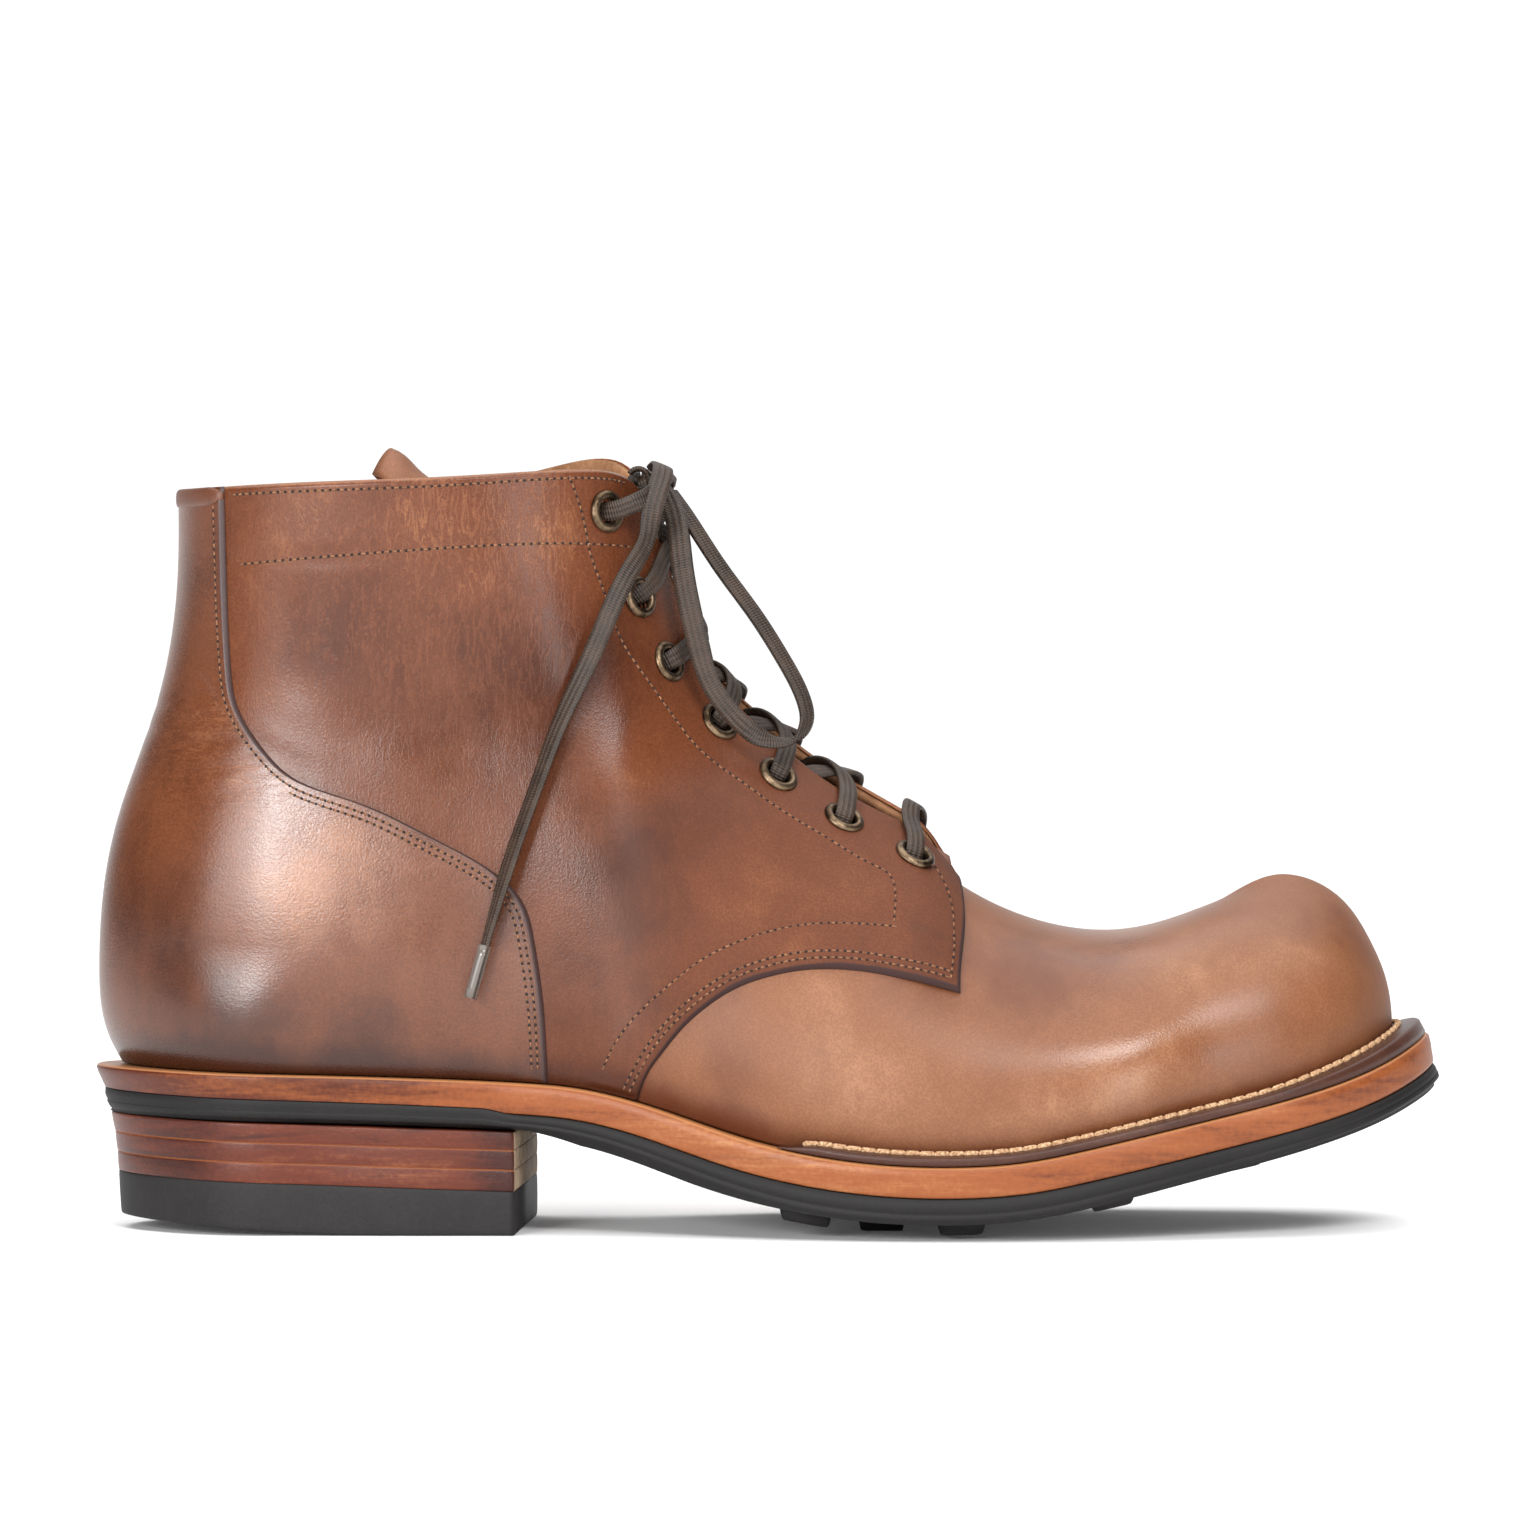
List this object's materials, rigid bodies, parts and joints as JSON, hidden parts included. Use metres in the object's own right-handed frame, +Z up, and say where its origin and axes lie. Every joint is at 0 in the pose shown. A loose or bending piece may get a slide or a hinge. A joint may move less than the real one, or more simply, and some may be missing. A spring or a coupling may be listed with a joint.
{
  "type": "service boot",
  "caption": "Lace-up leather service boot for the right foot, with a round toe, heel counter, brass eyelets, tied bow, stitched welt, lugged rubber outsole and stacked heel.",
  "frame": {"origin": "on the floor, under the middle of the boot's length and width", "axes": "+X from heel to toe, +Y to the medial side, +Z up"},
  "size_m": [0.3108, 0.1118, 0.1804],
  "materials": {
    "tan_leather": "oiled pull-up leather with a soft shine",
    "sole_leather": "burnished veg-tanned edge",
    "grey_rubber": "matte",
    "aged_brass": "aged",
    "waxed_cotton": "flat woven, waxed"
  },
  "bodies": {
    "root": {"outsole": "grey_rubber", "midsole": "sole_leather", "welt": "sole_leather", "insole": "sole_leather", "heel_lift_1": "sole_leather", "heel_lift_2": "sole_leather", "heel_lift_3": "sole_leather", "heel_toplift": "grey_rubber", "upper": "tan_leather", "counter": "tan_leather", "tongue": "tan_leather", "eyelet_lateral_1": "aged_brass", "eyelet_lateral_2": "aged_brass", "eyelet_lateral_3": "aged_brass", "eyelet_lateral_4": "aged_brass", "eyelet_lateral_5": "aged_brass", "eyelet_lateral_6": "aged_brass", "eyelet_lateral_7": "aged_brass", "eyelet_medial_1": "aged_brass", "eyelet_medial_2": "aged_brass", "eyelet_medial_3": "aged_brass", "eyelet_medial_4": "aged_brass", "eyelet_medial_5": "aged_brass", "eyelet_medial_6": "aged_brass", "eyelet_medial_7": "aged_brass", "lace_crossing_1": "waxed_cotton", "lace_crossing_2": "waxed_cotton", "lace_crossing_3": "waxed_cotton", "lace_crossing_4": "waxed_cotton", "lace_crossing_5": "waxed_cotton", "lace_crossing_6": "waxed_cotton", "lace_crossing_7": "waxed_cotton", "lace_knot": "waxed_cotton", "lace_loop_lateral": "waxed_cotton", "lace_loop_medial": "waxed_cotton", "lace_end_lateral": "waxed_cotton", "lace_end_medial": "waxed_cotton"}
  },
  "joints": []
}
